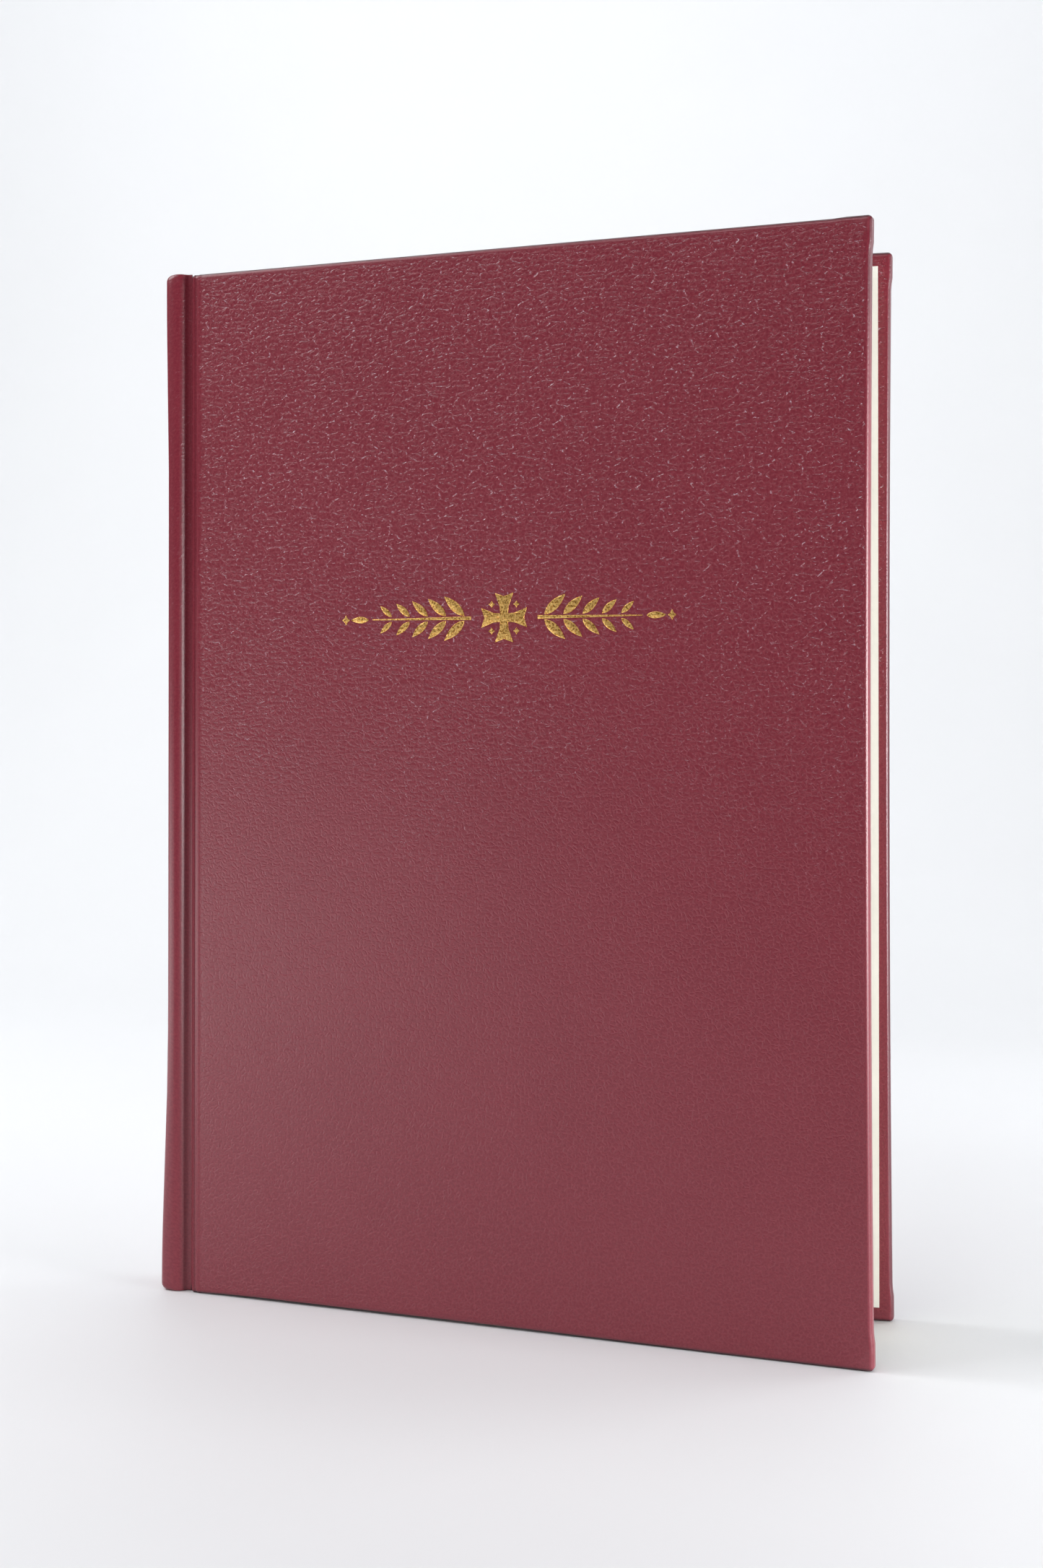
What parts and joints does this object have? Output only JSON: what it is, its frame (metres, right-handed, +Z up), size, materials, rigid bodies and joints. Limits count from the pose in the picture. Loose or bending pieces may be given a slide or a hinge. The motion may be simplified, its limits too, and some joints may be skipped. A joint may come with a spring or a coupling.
{
  "type": "prayer book",
  "caption": "Slim hardcover prayer book in grained leather, with grooved joints, gilt ornament, sewn gatherings that fan, and both covers hinged through 180 degrees.",
  "frame": {"origin": "middle of the base of the bounding box, on the surface that the book stands on", "axes": "+Z up along the spine's length, +X from the spine to the fore-edge along the back cover, -Y out of the front cover"},
  "size_m": [0.1694, 0.0408, 0.24],
  "materials": {
    "burgundy_leather": "fine pebble grain, satin, with a light sheen",
    "greyboard": "matte grey bookbinding board",
    "page_paper": "uncoated cream book paper",
    "endpaper": "heavier uncoated off-white paper",
    "gauze": "open cotton weave, sized with glue",
    "linen_thread": "waxed linen",
    "silk": "wound silk with a soft shine",
    "gold_foil": "hot-stamped gold foil, slightly broken over the grain"
  },
  "bodies": {
    "spine": {"spine_leather": "burgundy_leather", "spine_inlay": "greyboard", "spine_lining_paper": "endpaper", "mull_gauze": "gauze", "sewing_tape_1": "linen_thread", "sewing_tape_2": "linen_thread", "sewing_tape_3": "linen_thread", "kettle_stitch_head": "linen_thread", "kettle_stitch_tail": "linen_thread", "headband": "silk", "tailband": "silk"},
    "front_joint": {"front_joint_leather": "burgundy_leather", "front_endpaper_joint": "endpaper"},
    "front_cover": {"front_cover_leather": "burgundy_leather", "front_board": "greyboard", "front_pastedown": "endpaper", "gilt_cross": "gold_foil", "gilt_left_spray": "gold_foil", "gilt_right_spray": "gold_foil"},
    "front_flyleaf": {"front_flyleaf": "endpaper"},
    "gathering_1": {"gathering_1": "page_paper"},
    "gathering_2": {"gathering_2": "page_paper"},
    "gathering_3": {"gathering_3": "page_paper"},
    "gathering_4": {"gathering_4": "page_paper"},
    "gathering_5": {"gathering_5": "page_paper"},
    "gathering_6": {"gathering_6": "page_paper"},
    "gathering_7": {"gathering_7": "page_paper"},
    "gathering_8": {"gathering_8": "page_paper"},
    "back_flyleaf": {"back_flyleaf": "endpaper"},
    "back_joint": {"back_joint_leather": "burgundy_leather", "back_endpaper_joint": "endpaper"},
    "back_cover": {"back_cover_leather": "burgundy_leather", "back_board": "greyboard", "back_pastedown": "endpaper"}
  },
  "joints": [
    {"name": "front_cover_hinge", "type": "hinge", "parent": "front_joint", "child": "front_cover", "pos_m": [-0.0764, 0.00442, 0.12], "axis": [0, 0, -1], "range_deg": [-4.4, 85.6]},
    {"name": "front_joint_hinge", "type": "hinge", "parent": "spine", "child": "front_joint", "pos_m": [-0.0795, 0.00647, 0.12], "axis": [0, 0, -1], "range_deg": [-4.4, 85.6]},
    {"name": "front_flyleaf_hinge", "type": "hinge", "parent": "spine", "child": "front_flyleaf", "pos_m": [-0.07845, 0.00789, 0.12], "axis": [0, 0, -1], "range_deg": [-3.52, 68.48]},
    {"name": "gathering_1_hinge", "type": "hinge", "parent": "spine", "child": "gathering_1", "pos_m": [-0.07845, 0.00856, 0.12], "axis": [0, 0, -1], "range_deg": [-2.64, 51.36]},
    {"name": "gathering_2_hinge", "type": "hinge", "parent": "spine", "child": "gathering_2", "pos_m": [-0.07845, 0.00965, 0.12], "axis": [0, 0, -1], "range_deg": [-2.31, 44.94]},
    {"name": "gathering_3_hinge", "type": "hinge", "parent": "spine", "child": "gathering_3", "pos_m": [-0.07845, 0.01074, 0.12], "axis": [0, 0, -1], "range_deg": [-1.98, 38.52]},
    {"name": "gathering_4_hinge", "type": "hinge", "parent": "spine", "child": "gathering_4", "pos_m": [-0.07845, 0.01182, 0.12], "axis": [0, 0, -1], "range_deg": [-1.65, 32.1]},
    {"name": "gathering_5_hinge", "type": "hinge", "parent": "spine", "child": "gathering_5", "pos_m": [-0.07845, 0.01291, 0.12], "axis": [0, 0, -1], "range_deg": [-1.32, 25.68]},
    {"name": "gathering_6_hinge", "type": "hinge", "parent": "spine", "child": "gathering_6", "pos_m": [-0.07845, 0.014, 0.12], "axis": [0, 0, -1], "range_deg": [-0.99, 19.26]},
    {"name": "gathering_7_hinge", "type": "hinge", "parent": "spine", "child": "gathering_7", "pos_m": [-0.07845, 0.01509, 0.12], "axis": [0, 0, -1], "range_deg": [-0.66, 12.84]},
    {"name": "gathering_8_hinge", "type": "hinge", "parent": "spine", "child": "gathering_8", "pos_m": [-0.07845, 0.01617, 0.12], "axis": [0, 0, -1], "range_deg": [-0.33, 6.42]},
    {"name": "back_cover_hinge", "type": "hinge", "parent": "back_joint", "child": "back_cover", "pos_m": [-0.07625, 0.02007, 0.12], "axis": [0, 0, 1], "range_deg": [0, 90]},
    {"name": "back_joint_hinge", "type": "hinge", "parent": "spine", "child": "back_joint", "pos_m": [-0.0795, 0.01827, 0.12], "axis": [0, 0, 1], "range_deg": [0, 90]},
    {"name": "back_flyleaf_hinge", "type": "hinge", "parent": "spine", "child": "back_flyleaf", "pos_m": [-0.07845, 0.01684, 0.12], "axis": [0, 0, 1], "range_deg": [0, 72]}
  ],
  "couplings": [
    {"joint": "front_joint_hinge", "follows": "front_cover_hinge", "ratio": 1},
    {"joint": "front_flyleaf_hinge", "follows": "front_cover_hinge", "ratio": 0.8},
    {"joint": "gathering_1_hinge", "follows": "front_cover_hinge", "ratio": 0.6},
    {"joint": "gathering_2_hinge", "follows": "front_cover_hinge", "ratio": 0.525},
    {"joint": "gathering_3_hinge", "follows": "front_cover_hinge", "ratio": 0.45},
    {"joint": "gathering_4_hinge", "follows": "front_cover_hinge", "ratio": 0.375},
    {"joint": "gathering_5_hinge", "follows": "front_cover_hinge", "ratio": 0.3},
    {"joint": "gathering_6_hinge", "follows": "front_cover_hinge", "ratio": 0.225},
    {"joint": "gathering_7_hinge", "follows": "front_cover_hinge", "ratio": 0.15},
    {"joint": "gathering_8_hinge", "follows": "front_cover_hinge", "ratio": 0.075},
    {"joint": "back_joint_hinge", "follows": "back_cover_hinge", "ratio": 1},
    {"joint": "back_flyleaf_hinge", "follows": "back_cover_hinge", "ratio": 0.8}
  ]
}
